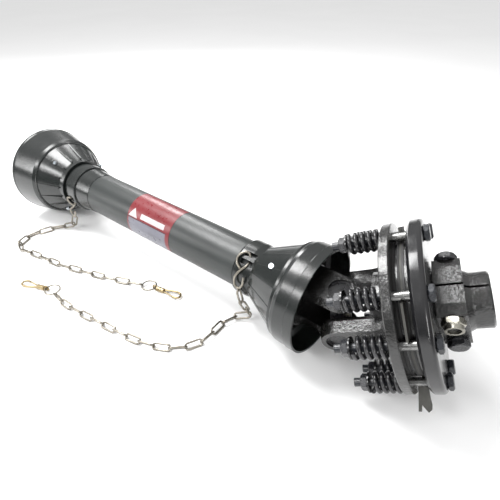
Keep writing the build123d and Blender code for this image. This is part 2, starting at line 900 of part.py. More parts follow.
left_cone_base_x = left_bell_length + 1.0
right_cone_base_x = right_mouth_x - right_bell_length - 2.0
left_cone_wall = (
    left_bell_length,
    left_cone_base_radius - cone_wall,
    left_cone_end_x,
    left_cone_end_radius - cone_wall - 1,
)
right_cone_wall = (
    right_cone_start_x + 8,
    right_cone_start_radius + 1.0,
    right_cone_base_x - 2,
    right_cone_base_radius - cone_wall,
)
left_hook_x = 124.0
left_hook_angle = 108.0
right_hook_x = 525.0
right_hook_angle = 33.5

with BuildPart() as left_guard_bell:
    step = left_bell_length
    add(turned(shaft, [
        (0, left_mouth_radius - bell_wall),
        (0, left_mouth_radius),
        (4, left_mouth_radius),
        (6, left_mouth_radius - 0.9),
        (step - 5, left_bell_neck_radius + 0.8),
        (step, left_bell_neck_radius - 2),
        (step, left_cone_base_radius - cone_wall),
        (step - 2.5, left_cone_base_radius - cone_wall),
        (step - 6, left_bell_neck_radius - bell_wall),
    ]))

with BuildPart() as left_guard_cone:
    add(turned(shaft, [
        (left_bell_length, left_cone_base_radius - cone_wall),
        (left_bell_length, left_cone_base_radius + 1.2),
        (left_cone_base_x + 2, left_cone_base_radius + 1.2),
        (left_cone_base_x + 2, left_cone_base_radius - 1.0),
        (left_cone_end_x, left_cone_end_radius),
        (left_cone_end_x + 9, left_cone_end_radius - 1),
        (left_cone_end_x + 9, guard_tube_radius + 0.05),
        (outer_guard_start_x, guard_tube_radius + 0.05),
        (outer_guard_start_x, left_cone_end_radius - cone_wall - 2),
        (left_cone_end_x, left_cone_end_radius - cone_wall - 1),
    ]))
    add(cone_ribs(
        shaft,
        (left_cone_base_x + 2, left_cone_base_radius - 1.0),
        (left_cone_end_x, left_cone_end_radius),
        rib_count,
    ))

with BuildPart() as left_guard_collar:
    start = left_cone_end_x + 9.0
    bore = guard_tube_radius + 0.05
    add(turned(shaft, [
        (start, bore),
        (start, collar_radius - 2),
        (start + 2, collar_radius - 2),
        (start + 3, collar_radius),
        (left_collar_end_x - 1, collar_radius),
        (left_collar_end_x, collar_radius - 1),
        (left_collar_end_x, bore + left_sleeve_wall + 2.0),
        (left_sleeve_end_x, bore + 0.5),
        (left_sleeve_end_x, bore),
    ]))
    window, strap = hook_window(
        shaft, left_hook_x, left_hook_angle, bore - 3, collar_radius, collar_radius - strap_thickness
    )
    add(window, mode=Mode.SUBTRACT)
    add(strap)

with BuildPart() as outer_guard_tube:
    wall_inside = guard_tube_radius - guard_tube_wall
    add(bar(shaft, outer_guard_start_x, outer_guard_end_x, guard_tube_radius, wall_inside))

with BuildPart() as guard_label:
    with BuildSketch(shaft.across(label_start_x)):
        with BuildLine():
            low = guard_tube_radius + 0.02
            high = low + label_thickness
            CenterArc((0, 0), low, label_first_angle, label_sweep)
            CenterArc((0, 0), high, label_first_angle, label_sweep)
            for angle in (label_first_angle, label_first_angle + label_sweep):
                c = cos(radians(angle))
                s = sin(radians(angle))
                Line((low * c, low * s), (high * c, high * s))
        make_face()
    extrude(amount=label_length)

with BuildPart() as left_bearing_ring:
    add(bearing_ring(shaft, left_ring_x, left_cone_wall))

inner_guard_radius = guard_tube_radius - guard_tube_wall - sliding_gap

with BuildPart() as inner_guard_tube:
    end = right_cone_start_x + 8.0
    add(bar(shaft, inner_guard_start_x, end, inner_guard_radius, inner_guard_radius - inner_guard_wall))

with BuildPart() as right_guard_collar:
    start = right_collar_start_x
    bore = inner_guard_radius + 0.05
    rim_end = start + right_collar_rim_length
    add(turned(shaft, [
        (start, bore),
        (start, right_collar_radius - 1.5),
        (start + 1.5, right_collar_radius),
        (rim_end, right_collar_radius),
        (right_cone_start_x, right_cone_start_radius - 1.5),
        (right_cone_start_x, bore),
    ]))
    window, strap = hook_window(
        shaft, right_hook_x - 2.0, right_hook_angle, bore - 3, right_collar_radius,
        right_collar_radius - strap_thickness - 0.4
    )
    add(window, mode=Mode.SUBTRACT)
    add(strap)

with BuildPart() as right_guard_cone:
    base = right_cone_base_x
    add(turned(shaft, [
        (right_cone_start_x, bore),
        (right_cone_start_x, right_cone_start_radius),
        (base - 2, right_cone_base_radius),
        (base - 2, right_cone_base_radius + 2.5),
        (base + 2, right_cone_base_radius + 2.5),
        (base + 2, right_cone_base_radius - cone_wall),
        (base - 2, right_cone_base_radius - cone_wall),
        (right_cone_start_x + 8, right_cone_start_radius + 1.0),
        (right_cone_start_x + 8, bore),
    ]))
    add(cone_ribs(
        shaft,
        (right_cone_start_x, right_cone_start_radius),
        (base - 2, right_cone_base_radius - 2.6),
        rib_count,
    ))

with BuildPart() as right_guard_bell:
    start = right_cone_base_x + 2
    add(turned(shaft, [
        (start, right_cone_base_radius - cone_wall),
        (start, right_bell_neck_radius + 0.4),
        (start + 1.5, right_bell_neck_radius + 1.6),
        (start + 6, right_mouth_radius - 1.4),
        (right_mouth_x - 13, right_mouth_radius - 1.0),
        (right_mouth_x - 12, right_mouth_radius),
        (right_mouth_x, right_mouth_radius),
        (right_mouth_x, right_mouth_radius - bell_wall),
        (start + 7, right_mouth_radius - 1.4 - bell_wall),
        (start + 2.5, right_cone_base_radius - cone_wall),
    ]))

with BuildPart() as right_bearing_ring:
    add(bearing_ring(shaft, right_ring_x, right_cone_wall))


def guard_screws(ring_at, cone, angles, depth):
    """Pan-head screws through a guard cone into its bearing ring."""
    radius = cone_radius(ring_at, *cone)
    with BuildPart() as body:
        for angle in angles:
            screw = shaft.spoke(ring_at, angle)
            top = radius + 1.6
            add(bar(screw, top, top + guard_screw_head, guard_screw_radius))
            add(bar(screw, radius - depth, top + 0.5, 1.8))
            with BuildSketch(screw.across(top + guard_screw_head - 1.2)):
                Rectangle(1.1, 4.4)
                Rectangle(4.4, 1.1)
            extrude(amount=2, mode=Mode.SUBTRACT)
    return body.part


def screw_holes(ring_at, cone, angles):
    """Room for the guard screws in the cone and in the bearing ring."""
    with BuildPart() as body:
        for angle in angles:
            screw = shaft.spoke(ring_at, angle)
            add(bar(screw, hub_radius + 3, cone_radius(ring_at, *cone) + 4, 1.85))
            add(bar(screw, cone_radius(ring_at, *cone) + 1.5, 90, guard_screw_radius + 0.6))
    return body.part


left_cone_line = (left_cone_base_x, left_cone_base_radius, left_cone_end_x, left_cone_end_radius)
right_cone_line = (right_cone_start_x, right_cone_start_radius, right_cone_base_x, right_cone_base_radius)
screw_angles = (33.75, 33.75 + 112.5, 33.75 + 247.5)

with BuildPart() as left_guard_screws:
    add(guard_screws(left_ring_x, left_cone_line, screw_angles, 8.0))

with BuildPart() as right_guard_screws:
    add(guard_screws(right_ring_x, right_cone_line, screw_angles, 8.0))

for piece, ring_at, cone in (
    (left_guard_cone, left_ring_x, left_cone_line),
    (left_bearing_ring, left_ring_x, left_cone_line),
    (right_guard_cone, right_ring_x, right_cone_line),
    (right_bearing_ring, right_ring_x, right_cone_line),
):
    with piece:
        add(screw_holes(ring_at, cone, screw_angles), mode=Mode.SUBTRACT)

# ---- Safety chains: hook, chain, split ring and snap hook on each guard half ----

lying = link_width / 2 + floor_clear
ring_height = 5.2
snap_height = snap_barrel_radius + floor_clear


def on_guard(x, angle, radius):
    return shaft.point(x, radius, angle)


left_hook_route = [
    on_guard(121, 124, 44.5),
    on_guard(115, 121, 44.5),
    on_guard(113.8, 109, 44.2),
    on_guard(117, 98, 43.6),
    on_guard(124, 96, 43.2),
    on_guard(124, 102.5, 36.95),
    on_guard(125, 113.5, 36.95),
    on_guard(126, 120, 43.0),
    (120, -42.5, 51.0),
    (114, -42.5, 45.0),
    (116, -41.5, 37.0),
    (122, -41.0, 34.5),
    (127.5, -41.0, 40.0),
    (127, -42.0, 47.0),
]
left_chain_route = [
    (121.5, -41.0, 32.6),
    (120, -41.0, 22.0),
    (112, -41.8, 11.5),
    (100, -45.5, lying + 0.3),
    (87, -56.0, lying),
    (77, -74.0, lying),
    (71, -96.0, lying),
    (70, -117.0, lying),
    (77, -136.0, lying),
    (96, -144.0, lying),
    (120, -138.0, lying),
    (152, -131.0, lying),
    (194, -125.5, lying),
    (238, -111.0, lying),
    (287, -96.0, lying),
    (320, -81.5, lying),
    (343.0, -71.4, lying),
]
right_hook_route = [
    on_guard(520.5, 57, 42.5),
    on_guard(512, 50, 42.5),
    on_guard(509, 39, 42.5),
    on_guard(512.5, 28, 42.5),
    on_guard(520, 21.5, 41.3),
    on_guard(523, 28.5, 34.9),
    on_guard(525.5, 38.5, 34.9),
    on_guard(528.5, 46.5, 41.9),
    on_guard(521, 60, 42.8),
    on_guard(515, 76, 43.2),
    on_guard(517, 91, 44.2),
    on_guard(524, 96, 44.6),
    on_guard(531, 83, 44.0),
    on_guard(530, 69, 43.2),
]
right_chain_route = [
    (524.5, -45.0, 72.6),
    (526, -43.0, 56.0),
    (527.5, -36.0, 38.0),
    (529, -27.5, 22.0),
    (527, -20.5, 10.5),
    (516, -22.5, lying + 0.3),
    (505, -36.5, lying),
    (500, -54.0, lying),
    (503, -77.0, lying),
    (504, -99.0, lying),
    (491, -124.5, lying),
    (468, -141.0, lying),
    (437, -153.5, lying),
    (398, -160.0, lying),
    (352, -166.5, lying),
    (305, -173.0, lying),
    (272, -175.0, lying),
    (256, -171.0, lying),
]
snap_ends = {
    "left": ((355.0, -66.0), (409.0, -53.0)),
    "right": ((243.0, -168.5), (194.0, -186.0)),
}


def split_ring(side):
    (x, y), _ = snap_ends[side]
    upright = Centreline((x, y, ring_height), (0, 0, 1), (1, 0, 0))
    return bar_ring(upright, split_ring_radius, split_ring_wire)


def bar_ring(line, radius, diameter):
    """A round wire bent into a closed ring."""
    with BuildPart() as body:
        with BuildSketch(line.section):
            with Locations((0, radius)):
                Circle(diameter / 2)
        revolve(axis=line.axis)
    return body.part


def snap_frame(side):
    """Where a snap hook starts on its split ring, and the way it lies."""
    (x, y), (end_x, end_y) = snap_ends[side]
    way = Vector(end_x - x, end_y - y, 0).normalized()
    start = Vector(x, y, 0) + way * split_ring_radius
    return start, way, Vector(0, 0, 1).cross(way)


def snap_point(side, along, across, height=snap_height):
    start, way, left = snap_frame(side)
    return start + way * along + left * across + Vector(0, 0, height)


def snap_body(side):
    start, way, left = snap_frame(side)
    eye = Centreline(start + Vector(0, 0, ring_height), left, way)
    barrel = Centreline(start + Vector(0, 0, snap_height), way, Vector(0, 0, 1))
    barrel_start = snap_eye_radius + 0.4
    barrel_end = barrel_start + snap_barrel_length
    half = snap_loop_half_width
    end = barrel_end + snap_loop_length
    loop = [
        snap_point(side, barrel_end - 3, 1.8),
        snap_point(side, barrel_end + 5, 3.2),
        snap_point(side, barrel_end + 13, half - 0.6),
        snap_point(side, end - 8, half + 0.2),
        snap_point(side, end - 1, half - 2.2),
        snap_point(side, end, -half + 3.0),
        snap_point(side, end - 5.5, -half),
        snap_point(side, end - 11, -half + 0.8),
    ]
    rod, _ = wire(loop, snap_wire)
    with BuildPart() as body:
        add(bar_ring(eye, snap_eye_radius, snap_eye_wire))
        add(bar(barrel, barrel_start, barrel_end, snap_barrel_radius))
        chamfer(body.faces().sort_by(Axis(barrel.origin, way))[-1].edges(), 0.8)
        add(rod)
    return body.part


def snap_gate_wire(side):
    barrel_end = snap_eye_radius + 0.4 + snap_barrel_length
    end = barrel_end + snap_loop_length
    a = snap_point(side, barrel_end + gate_pivot_stand, gate_pivot_aside)
    b = snap_point(side, end - 11.6, -snap_loop_half_width + 0.9)
    gate = Centreline(a, b - a, Vector(0, 0, 1))
    pivot = Centreline(a, Vector(0, 0, 1), b - a)
    with BuildPart() as body:
        add(bar(gate, 0, (b - a).length, gate_wire / 2))
        add(bar(pivot, -gate_wire / 2, gate_wire / 2, gate_wire / 2 + 0.1))
    return body.part


chain_lengths = {}

with BuildPart() as left_chain_hook:
    add(wire(left_hook_route, hook_wire)[0])

with BuildPart() as left_chain:
    links, chain_lengths["left"] = wire(left_chain_route, link_width)
    add(links)

with BuildPart() as left_chain_ring:
    add(split_ring("left"))

with BuildPart() as left_snap_hook:
    add(snap_body("left"))

with BuildPart() as left_snap_gate:
    add(snap_gate_wire("left"))

with BuildPart() as right_chain_hook:
    add(wire(right_hook_route, hook_wire)[0])

with BuildPart() as right_chain:
    links, chain_lengths["right"] = wire(right_chain_route, link_width)
    add(links)

with BuildPart() as right_chain_ring:
    add(split_ring("right"))

with BuildPart() as right_snap_hook:
    add(snap_body("right"))

with BuildPart() as right_snap_gate:
    add(snap_gate_wire("right"))

# ---- Labels and files ----

driveline = {
    "left_guard_bell": left_guard_bell,
    "left_guard_cone": left_guard_cone,
    "left_guard_collar": left_guard_collar,
    "left_bearing_ring": left_bearing_ring,
    "left_guard_screws": left_guard_screws,
    "outer_guard_tube": outer_guard_tube,
    "guard_label": guard_label,
    "inner_guard_tube": inner_guard_tube,
    "right_guard_collar": right_guard_collar,
    "right_guard_cone": right_guard_cone,
    "right_guard_bell": right_guard_bell,
    "right_bearing_ring": right_bearing_ring,
    "right_guard_screws": right_guard_screws,
    "tractor_yoke": tractor_yoke,
    "tractor_yoke_cups": tractor_yoke_cups,
    "tractor_yoke_rings": tractor_yoke_rings,
    "release_pin": release_pin,
    "release_pin_spring": release_pin_spring,
    "left_cross": left_cross,
    "left_grease_nipple": left_grease_nipple,
    "left_tube_yoke": left_tube_yoke,
    "left_tube_yoke_cups": left_tube_yoke_cups,
    "left_tube_yoke_rings": left_tube_yoke_rings,
    "left_spring_pin": left_spring_pin,
    "outer_drive_tube": outer_drive_tube,
    "inner_drive_tube": inner_drive_tube,
    "right_spring_pin": right_spring_pin,
    "right_tube_yoke": right_tube_yoke,
    "right_tube_yoke_cups": right_tube_yoke_cups,
    "right_tube_yoke_rings": right_tube_yoke_rings,
    "right_cross": right_cross,
    "right_grease_nipple": right_grease_nipple,
    "clutch_yoke": clutch_yoke,
    "clutch_yoke_cups": clutch_yoke_cups,
    "clutch_yoke_rings": clutch_yoke_rings,
    "clutch_bushing": clutch_bushing,
    "friction_discs": friction_discs,
    "inner_drive_plate": inner_drive_plate,
    "fork_plate": fork_plate,
    "outer_plate": outer_plate,
    "clutch_bolts": clutch_bolts,
    "clutch_nuts": clutch_nuts,
    "spring_washers": spring_washers,
    "clutch_springs": clutch_springs,
    "clutch_hub": clutch_hub,
    "clamp_bolts": clamp_bolts,
    "clamp_nuts": clamp_nuts,
}
chains = {
    "left_chain_hook": left_chain_hook,
    "left_chain": left_chain,
    "left_chain_ring": left_chain_ring,
    "left_snap_hook": left_snap_hook,
    "left_snap_gate": left_snap_gate,
    "right_chain_hook": right_chain_hook,
    "right_chain": right_chain,
    "right_chain_ring": right_chain_ring,
    "right_snap_hook": right_snap_hook,
    "right_snap_gate": right_snap_gate,
}

# The driveline is centred over its own footprint, and stands on the floor.
corners = [piece.part.bounding_box() for piece in driveline.values()]
middle_x = (min(b.min.X for b in corners) + max(b.max.X for b in corners)) / 2
middle_y = (min(b.min.Y for b in corners) + max(b.max.Y for b in corners)) / 2
lowest = min(b.min.Z for b in corners)
to_origin = Location((-middle_x, -middle_y, -lowest))

for name, piece in {**driveline, **chains}.items():
    placed = piece.part.moved(to_origin)
    placed.label = name
    export_step(placed, f"parts/{name}.step")


def said(vector):
    return "({:.9f}, {:.9f}, {:.9f})".format(*vector)


print("moved by", said(to_origin.position))
printed_lines = (("shaft", shaft), ("clutch", clutch), ("push pin", push_pin), ("clamp", near_clamp))
for name, line in printed_lines:
    print(name, "at", said(line.origin + to_origin.position), "along", said(line.along))
print("left joint at", said(left_centre + to_origin.position))
print("right joint at", said(joint_centre + to_origin.position))
print("inner pin", said(inner_pin_way), "outer pin", said(outer_pin_way), "tractor pin", said(tractor_pin_way))
for side in ("left", "right"):
    barrel_end = snap_eye_radius + 0.4 + snap_barrel_length
    pivot = snap_point(side, barrel_end + gate_pivot_stand, gate_pivot_aside)
    print(side, "gate pivot", said(pivot + to_origin.position))
    print(side, "chain length {:.1f}".format(chain_lengths[side]))
for route in (left_chain_route, right_chain_route):
    points = [Vector(*p) for p in route]
    print("chain bend radii", [round(r, 1) for r in bend_radii(points)])
    print("chain runs", [round(r, 1) for r in run_lengths(points)])
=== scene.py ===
from math import cos, pi, radians, sin

import bpy
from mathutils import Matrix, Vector


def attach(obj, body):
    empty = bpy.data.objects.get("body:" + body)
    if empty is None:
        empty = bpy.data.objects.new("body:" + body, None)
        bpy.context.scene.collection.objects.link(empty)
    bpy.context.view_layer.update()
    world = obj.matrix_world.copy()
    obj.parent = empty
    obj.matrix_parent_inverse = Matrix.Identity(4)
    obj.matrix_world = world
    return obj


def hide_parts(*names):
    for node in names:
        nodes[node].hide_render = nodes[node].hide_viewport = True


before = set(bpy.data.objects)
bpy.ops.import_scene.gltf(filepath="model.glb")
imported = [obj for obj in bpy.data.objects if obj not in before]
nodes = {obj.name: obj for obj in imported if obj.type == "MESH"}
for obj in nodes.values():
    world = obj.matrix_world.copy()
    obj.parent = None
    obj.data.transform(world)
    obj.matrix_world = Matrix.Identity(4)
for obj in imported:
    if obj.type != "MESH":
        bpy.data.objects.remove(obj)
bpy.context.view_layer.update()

# The driveline's own frame starts on the floor under the left guard's mouth. This is its place in the row,
# with the height of the shaft and the clutch's centreline from its joint.
shaft_start = Vector((-0.366254, -0.022990, 0.0))
axis_height = 0.0796
clutch_start = (0.288246, -0.022990, 0.0796)
clutch_way = (0.863849, 0.336801, 0.374607)


def mm(x, y, z):
    """A point of the driveline's own frame, in millimetres, as a point of the row."""
    return Vector((x, y, z)) * 0.001 + shaft_start


# ---------------------------------------------------------------- materials


class Shader:
    """One procedural material, built node by node."""

    def __init__(self, name):
        self.material = bpy.data.materials.new(name)
        self.material.use_nodes = True
        self.tree = self.material.node_tree
        self.surface = self.tree.nodes["Principled BSDF"]
        self.place = self.node("ShaderNodeTexCoord").outputs["Object"]

    def node(self, kind, **sockets):
        made = self.tree.nodes.new(kind)
        for name, value in sockets.items():
            made.inputs[name.replace("_", " ")].default_value = value
        return made

    def link(self, out, to):
        self.tree.links.new(out, to)

    def noise(self, scale, detail=3.0, roughness=0.55, stretch=None):
        made = self.node("ShaderNodeTexNoise", Scale=scale, Detail=detail, Roughness=roughness)
        place = self.place
        if stretch:
            mapping = self.node("ShaderNodeMapping")
            mapping.inputs["Scale"].default_value = stretch
            self.link(place, mapping.inputs["Vector"])
            place = mapping.outputs["Vector"]
        self.link(place, made.inputs["Vector"])
        return made.outputs["Fac"]

    def ramp(self, value, low, high, start=0.3, end=0.7):
        """value from start to end, turned into low to high, which are numbers or colours."""
        made = self.node("ShaderNodeMapRange")
        made.inputs["From Min"].default_value = start
        made.inputs["From Max"].default_value = end
        self.link(value, made.inputs["Value"])
        if isinstance(low, (int, float)):
            made.inputs["To Min"].default_value = low
            made.inputs["To Max"].default_value = high
            return made.outputs["Result"]
        return self.mix(made.outputs["Result"], low, high)

    def mix(self, fac, a, b):
        made = self.node("ShaderNodeMix")
        made.data_type = "RGBA"
        self.link(fac, made.inputs["Factor"])
        for socket, value in ((made.inputs[6], a), (made.inputs[7], b)):
            if isinstance(value, tuple):
                socket.default_value = (*value, 1.0)
            else:
                self.link(value, socket)
        return made.outputs[2]

    def math(self, operation, a, b=0.0):
        made = self.node("ShaderNodeMath")
        made.operation = operation
        for socket, value in ((made.inputs[0], a), (made.inputs[1], b)):
            if isinstance(value, (int, float)):
                socket.default_value = value
            else:
                self.link(value, socket)
        return made.outputs[0]

    def set(self, name, value):
        socket = self.surface.inputs[name]
        if hasattr(value, "links") or hasattr(value, "is_linked"):
            self.link(value, socket)
        elif isinstance(value, tuple):
            socket.default_value = (*value, 1.0)
        else:
            socket.default_value = value

    def bump(self, *layers, edge=0.0005):
        """Relief from (height, depth in metres) layers, over edges rounded by the given radius."""
        soft_edge = self.node("ShaderNodeBevel", Radius=edge)
        soft_edge.samples = 4
        normal = soft_edge.outputs["Normal"]
        for height, depth in layers:
            made = self.node("ShaderNodeBump", Strength=1.0, Distance=depth)
            self.link(height, made.inputs["Height"])
            self.link(normal, made.inputs["Normal"])
            normal = made.outputs["Normal"]
        self.link(normal, self.surface.inputs["Normal"])


def plastic(name, dark, light, roughness, peel=0.00004):
    """Moulded gloss plastic with faint flow marks and handling scuffs."""
    s = Shader(name)
    cloud = s.noise(14.0)
    scuff = s.noise(120.0, 4.0, 0.6)
    s.set("Base Color", s.ramp(cloud, dark, light))
    s.set("Roughness", s.ramp(s.math("ADD", s.math("MULTIPLY", cloud, 0.5), s.math("MULTIPLY", scuff, 0.5)),
                              roughness, roughness + 0.10, 0.35, 0.7))
    s.set("Specular IOR Level", 0.55)
    s.bump((s.noise(420.0, 2.0), peel), (s.noise(35.0, 1.0), peel * 2.5))
    return s.material


def painted_casting(name, dark, light, roughness, grain, depth):
    """Gloss black paint over a rough casting."""
    s = Shader(name)
    cloud = s.noise(30.0, 5.0)
    sand = s.noise(grain, 4.0, 0.6)
    s.set("Base Color", s.ramp(cloud, dark, light))
    s.set("Roughness", s.ramp(sand, roughness, roughness + 0.14))
    s.set("Specular IOR Level", 0.6)
    s.set("Coat Weight", 0.4)
    s.set("Coat Roughness", 0.12)
    s.bump((sand, depth), (s.noise(grain * 0.25, 2.0), depth * 1.8), edge=0.001)
    return s.material


def painted_plate(name, dark, light, roughness):
    """Gloss black paint over a turned plate."""
    s = Shader(name)
    cloud = s.noise(24.0, 4.0)
    s.set("Base Color", s.ramp(cloud, dark, light))
    s.set("Roughness", s.ramp(s.noise(180.0, 4.0), roughness, roughness + 0.10))
    s.set("Specular IOR Level", 0.5)
    s.set("Coat Weight", 0.3)
    s.set("Coat Roughness", 0.06)
    s.bump((s.noise(220.0, 2.0), 0.000015), (s.noise(60.0, 2.0), 0.0001), edge=0.0009)
    return s.material


def metal(name, dark, light, roughness, grain=300.0, depth=0.00003, stretch=None, metallic=1.0):
    """Bare or plated metal with cloudy tarnish and fine scratches."""
    s = Shader(name)
    cloud = s.noise(55.0, 5.0)
    scratch = s.noise(grain, 5.0, 0.65, stretch)
    s.set("Base Color", s.ramp(cloud, dark, light))
    s.set("Metallic", metallic)
    s.set("Roughness", s.ramp(scratch, roughness, roughness + 0.2))
    s.bump((scratch, depth), edge=0.0003)
    return s.material


def lining(name):
    """Moulded friction lining with pale fibres."""
    s = Shader(name)
    fibre = s.noise(900.0, 6.0, 0.8, (1.0, 0.2, 1.0))
    s.set("Base Color", s.ramp(fibre, (0.010, 0.010, 0.011), (0.026, 0.025, 0.024)))
    s.set("Roughness", s.ramp(fibre, 0.35, 0.6))
    s.bump((fibre, 0.00008))
    return s.material


def bolt_metal(name, first, last):
    """Blackened bolt whose plain shank between two distances along the clutch is painted bright as bare
    metal: a painted highlight for the light the shanks catch in the gap between the plates.
    """
    s = Shader(name)
    split = s.node("ShaderNodeSeparateXYZ")
    s.link(s.place, split.inputs["Vector"])
    along = 0.0
    for out, centre, way in zip(split.outputs, clutch_start, clutch_way):
        along = s.math("ADD", s.math("MULTIPLY", s.math("SUBTRACT", out, centre), way), along)
    # Painted highlight: only the stretch of shank inside the gap between the plates is made bright and
    # metallic.
    painted_highlight_shank = s.math("MULTIPLY", s.math("GREATER_THAN", along, first), s.math("LESS_THAN", along, last))
    cloud = s.noise(70.0, 4.0)
    dark = s.ramp(cloud, (0.010, 0.011, 0.013), (0.028, 0.031, 0.037))
    painted_highlight_colour = s.ramp(cloud, (0.14, 0.14, 0.14), (0.30, 0.30, 0.29))
    s.set("Base Color", s.mix(painted_highlight_shank, dark, painted_highlight_colour))
    s.set("Metallic", painted_highlight_shank)
    s.set("Roughness", s.ramp(s.noise(260.0, 4.0), 0.20, 0.34))
    s.bump((s.noise(300.0, 3.0), 0.00002), edge=0.0006)
    return s.material


def label_film(name):
    """Plain warning film: red above grey, with a blank pale triangle and bar and a dark dividing line."""
    s = Shader(name)
    split = s.node("ShaderNodeSeparateXYZ")
    s.link(s.place, split.inputs["Vector"])
    x, y, z = split.outputs
    height = s.math("SUBTRACT", z, axis_height)
    toward = s.math("SUBTRACT", shaft_start.y, y)
    around = s.math("MULTIPLY", s.math("ARCTAN2", toward, height), 180 / pi)
    along = s.math("SUBTRACT", x, shaft_start.x + 0.281)

    def within(value, low, high):
        return s.math("MULTIPLY", s.math("GREATER_THAN", value, low), s.math("LESS_THAN", value, high))

    fade = s.noise(26.0, 5.0)
    red = s.ramp(fade, (0.125, 0.005, 0.009), (0.165, 0.008, 0.013))
    grey = s.ramp(fade, (0.10, 0.10, 0.125), (0.15, 0.15, 0.18))
    white = s.ramp(fade, (0.34, 0.31, 0.32), (0.44, 0.41, 0.41))
    panel = s.math("MULTIPLY", within(around, 68.0, 122.0), within(along, 0.003, 0.089))
    divider = s.math("MULTIPLY", within(around, 66.5, 69.0), within(along, 0.0, 0.091))
    slope = s.math("MULTIPLY", s.math("SUBTRACT", around, 40.0), 0.00042)
    centre = s.math("ABSOLUTE", s.math("SUBTRACT", along, 0.0125))
    triangle = s.math("MULTIPLY", s.math("LESS_THAN", centre, slope), within(around, 40.0, 65.0))
    bar = s.math("MULTIPLY", within(around, 48.0, 62.0), within(along, 0.030, 0.084))
    marks = s.math("MULTIPLY", within(around, 86.0, 104.0), within(along, 0.050, 0.080))
    colour = s.mix(panel, red, grey)
    colour = s.mix(s.math("MULTIPLY", marks, 0.5), colour, (0.10, 0.10, 0.12))
    colour = s.mix(s.math("ADD", triangle, bar), colour, white)
    colour = s.mix(divider, colour, (0.06, 0.012, 0.016))
    s.set("Base Color", colour)
    s.set("Roughness", s.ramp(s.noise(180.0, 4.0), 0.25, 0.42))
    s.bump((s.noise(200.0, 3.0), 0.00003), edge=0.0001)
    return s.material


guard_black = plastic("guard_black", (0.007, 0.009, 0.0085), (0.012, 0.014, 0.0135), 0.18)
tube_black = plastic("tube_black", (0.012, 0.015, 0.0145), (0.016, 0.020, 0.019), 0.36, 0.00002)
nylon = plastic("nylon", (0.55, 0.53, 0.46), (0.66, 0.64, 0.57), 0.4)
soot = (0.004, 0.004, 0.004)
warm_black = (0.011, 0.011, 0.010)
casting = painted_casting("casting", soot, warm_black, 0.10, 420.0, 0.00045)
hub_casting = painted_casting("hub_casting", soot, warm_black, 0.10, 400.0, 0.00050)
plate_black = painted_plate("plate_black", (0.004, 0.004, 0.005), (0.009, 0.009, 0.010), 0.16)
worn_plate = metal(
    "worn_plate", (0.045, 0.045, 0.040), (0.085, 0.083, 0.076), 0.38, 260.0, 0.00005, metallic=0.3
)
bolt_black = painted_plate("bolt_black", (0.010, 0.010, 0.012), (0.026, 0.027, 0.031), 0.22)
spring_black = painted_plate("spring_black", (0.006, 0.006, 0.007), (0.016, 0.016, 0.018), 0.18)
steel = metal("steel", (0.30, 0.30, 0.31), (0.48, 0.48, 0.49), 0.22, 400.0)
drawn_steel = metal(
    "drawn_steel", (0.16, 0.15, 0.15), (0.28, 0.27, 0.26), 0.35, 260.0, 0.00005, (0.1, 1.0, 1.0)
)
zinc = metal("zinc", (0.16, 0.145, 0.12), (0.36, 0.335, 0.29), 0.22, 380.0)
cup_black = painted_plate("cup_black", (0.006, 0.006, 0.007), (0.014, 0.014, 0.016), 0.24)
screw_zinc = metal("screw_zinc", (0.50, 0.54, 0.58), (0.72, 0.76, 0.80), 0.20, 380.0)
yellow_zinc = metal("yellow_zinc", (0.28, 0.27, 0.23), (0.50, 0.48, 0.42), 0.20, 420.0)
brass = metal("brass", (0.20, 0.15, 0.075), (0.46, 0.37, 0.22), 0.22, 380.0)
bronze = metal("bronze", (0.35, 0.23, 0.10), (0.52, 0.36, 0.17), 0.35)

finishes = {
    guard_black: (
        "left_guard_bell", "left_guard_cone", "left_guard_collar",
        "right_guard_collar", "right_guard_cone", "right_guard_bell",
    ),
    tube_black: ("outer_guard_tube", "inner_guard_tube"),
    nylon: ("left_bearing_ring", "right_bearing_ring"),
    label_film("label_film"): ("guard_label",),
    casting: ("tractor_yoke", "left_tube_yoke", "right_tube_yoke", "clutch_yoke"),
    hub_casting: ("clutch_hub",),
    plate_black: ("inner_drive_plate", "outer_plate", "spring_washers"),
    worn_plate: ("fork_plate",),
    bolt_black: ("clutch_nuts", "clamp_bolts"),
    # The clutch bolts carry a painted highlight on their shanks between the flange and the outer plate.
    bolt_metal("bolt_metal", 0.0775, 0.0942): ("clutch_bolts",),
    spring_black: ("clutch_springs", "release_pin_spring"),
    lining("lining"): ("friction_discs",),
    steel: ("left_spring_pin", "right_spring_pin"),
    cup_black: (
        "left_cross", "right_cross", "tractor_yoke_cups", "left_tube_yoke_cups", "right_tube_yoke_cups",
        "clutch_yoke_cups", "tractor_yoke_rings", "left_tube_yoke_rings", "right_tube_yoke_rings",
        "clutch_yoke_rings",
    ),
    screw_zinc: ("left_guard_screws", "right_guard_screws"),
    drawn_steel: ("outer_drive_tube", "inner_drive_tube"),
    zinc: (
        "release_pin", "left_grease_nipple", "right_grease_nipple", "left_chain_hook", "left_chain",
        "left_chain_ring", "right_chain_hook", "right_chain", "right_chain_ring",
    ),
    yellow_zinc: ("clamp_nuts",),
    brass: ("left_snap_hook", "left_snap_gate", "right_snap_hook", "right_snap_gate"),
    bronze: ("clutch_bushing",),
}
for material, names in finishes.items():
    for name in names:
        nodes[name].data.materials.clear()
        nodes[name].data.materials.append(material)

# ---------------------------------------------------------------- safety chains

link_wire = 0.0030
link_width = 0.0115
link_pitch = 0.0230
link_rolls = (radians(52), radians(-38))
floor_clear = 0.0002


